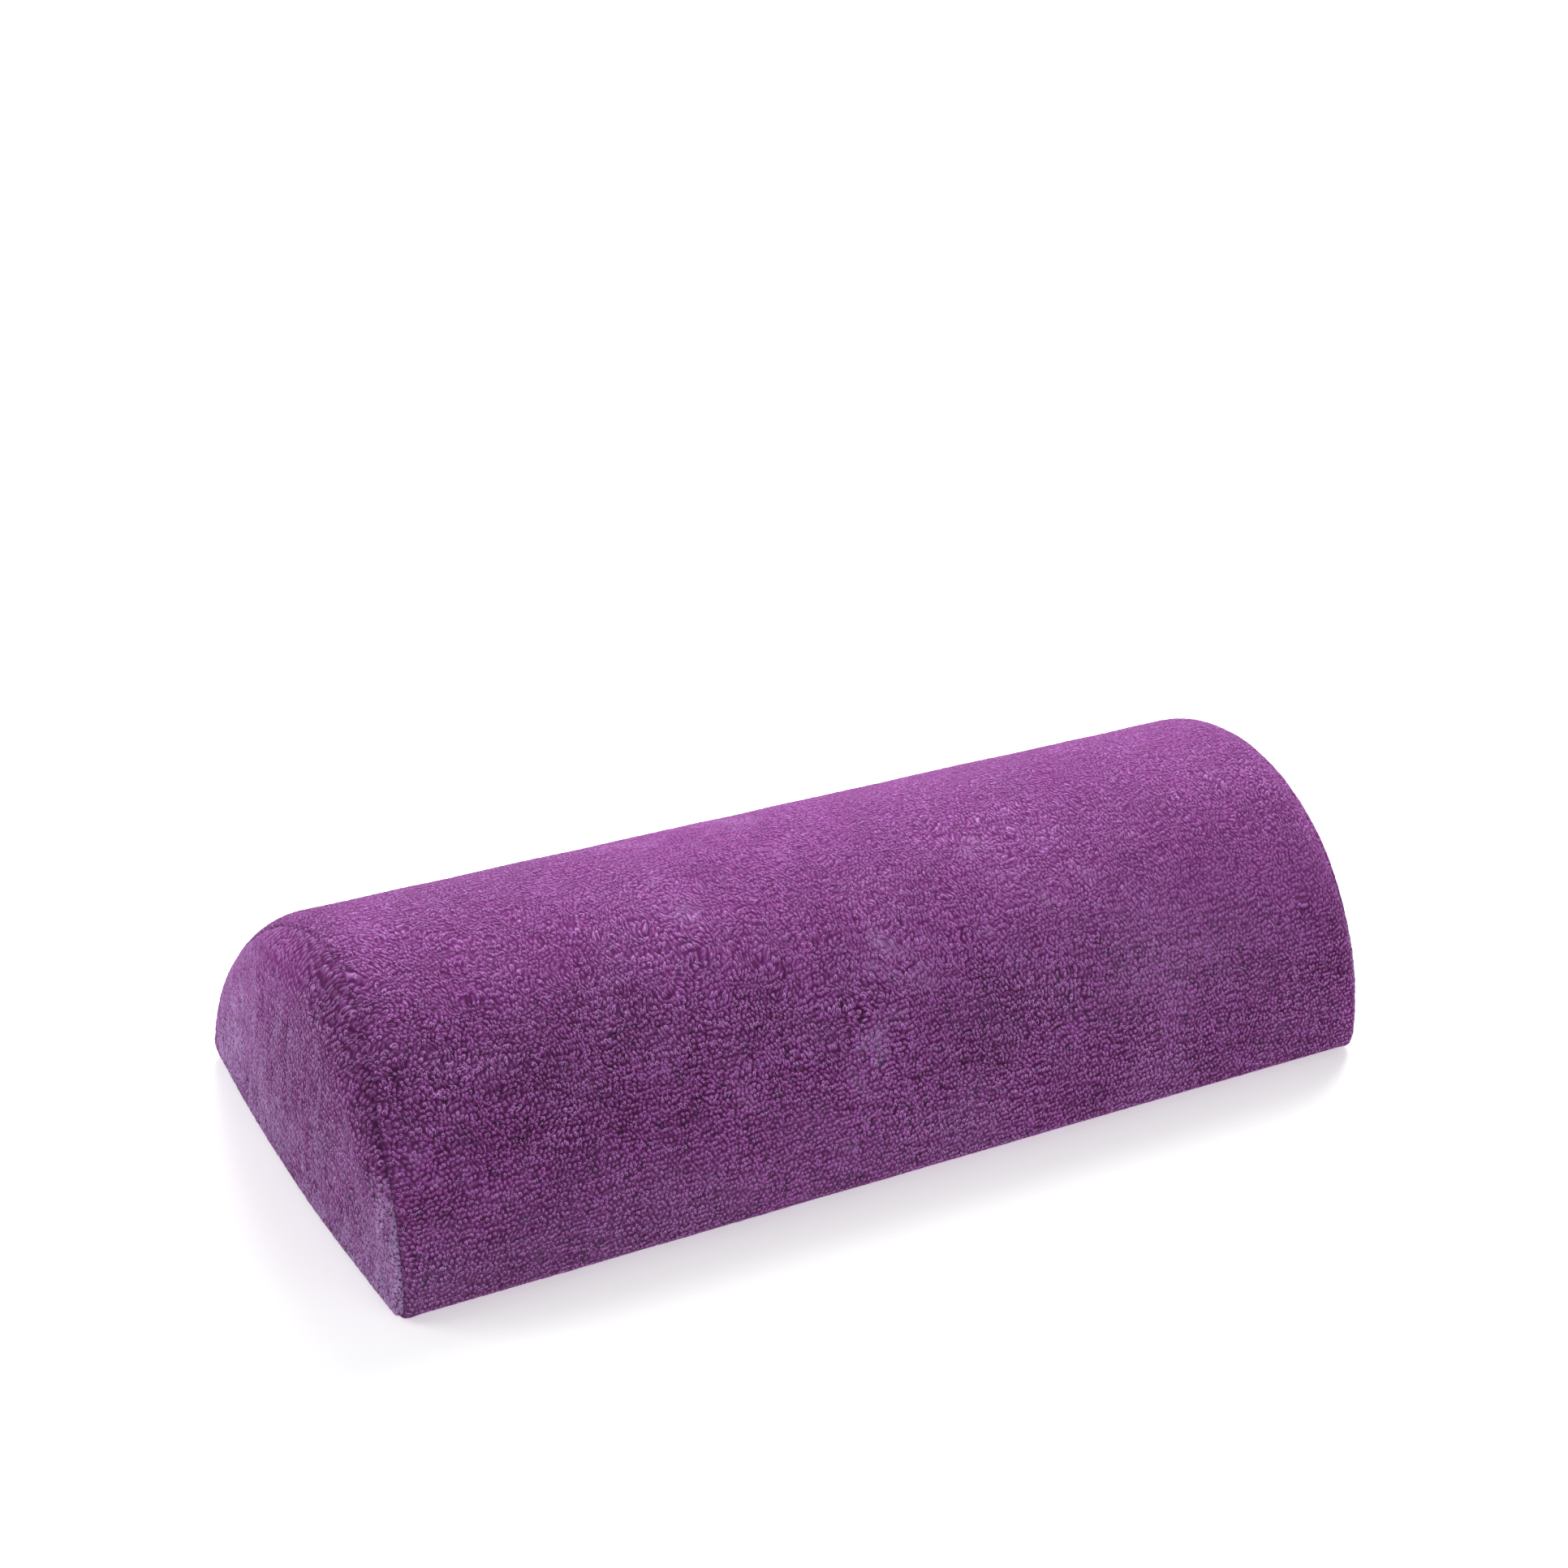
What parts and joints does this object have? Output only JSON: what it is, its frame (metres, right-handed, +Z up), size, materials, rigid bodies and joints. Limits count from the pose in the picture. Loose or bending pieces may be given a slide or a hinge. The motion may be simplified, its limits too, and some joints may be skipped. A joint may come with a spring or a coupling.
{
  "type": "bolster pillow",
  "caption": "Half-round bolster pillow: a foam core in a liner and a terry cover with end panels, closed by a coil zip in the flat base.",
  "frame": {"origin": "middle of the underside, on the surface the pillow rests on", "axes": "+X along the pillow, towards the end where the zip is closed; +Y to the rear, -Y is the front; +Z up, towards the crest"},
  "size_m": [0.3644, 0.15, 0.0855],
  "materials": {
    "terry_cloth": "looped terry pile",
    "liner_knit": "fine knit",
    "foam": "open-cell foam",
    "sewing_thread": "twisted polyester",
    "zip_tape": "woven tape",
    "zip_coil": "satin nylon monofilament",
    "zip_metal": "satin nickel",
    "label_satin": "satin ribbon"
  },
  "bodies": {
    "cover": {"care_label": "label_satin", "foam_core": "foam", "left_end_panel": "terry_cloth", "left_end_seam_thread": "sewing_thread", "left_overlock_thread": "sewing_thread", "liner_left_end": "liner_knit", "liner_right_end": "liner_knit", "liner_wrap": "liner_knit", "right_end_panel": "terry_cloth", "right_end_seam_thread": "sewing_thread", "right_overlock_thread": "sewing_thread", "wrap_panel": "terry_cloth", "zip_bartacks": "sewing_thread", "zip_bottom_stop": "zip_metal", "zip_coil_front": "zip_coil", "zip_coil_rear": "zip_coil", "zip_tape_front": "zip_tape", "zip_tape_rear": "zip_tape", "zip_top_stops": "zip_metal", "zip_topstitch_front": "sewing_thread", "zip_topstitch_rear": "sewing_thread"},
    "slider": {"zip_slider": "zip_metal"},
    "pull_tab": {"zip_pull_tab": "zip_metal"}
  },
  "joints": [
    {"name": "zip_slide", "type": "slide", "parent": "cover", "child": "slider", "axis": [-1, 0, 0], "range_m": [0, 0.236], "deforming": ["zip_coil_front", "zip_coil_rear"]},
    {"name": "pull_tab_hinge", "type": "hinge", "parent": "slider", "child": "pull_tab", "pos_m": [0.1175, 0, 0.0015], "axis": [0, -1, 0], "range_deg": [0, 180]}
  ]
}
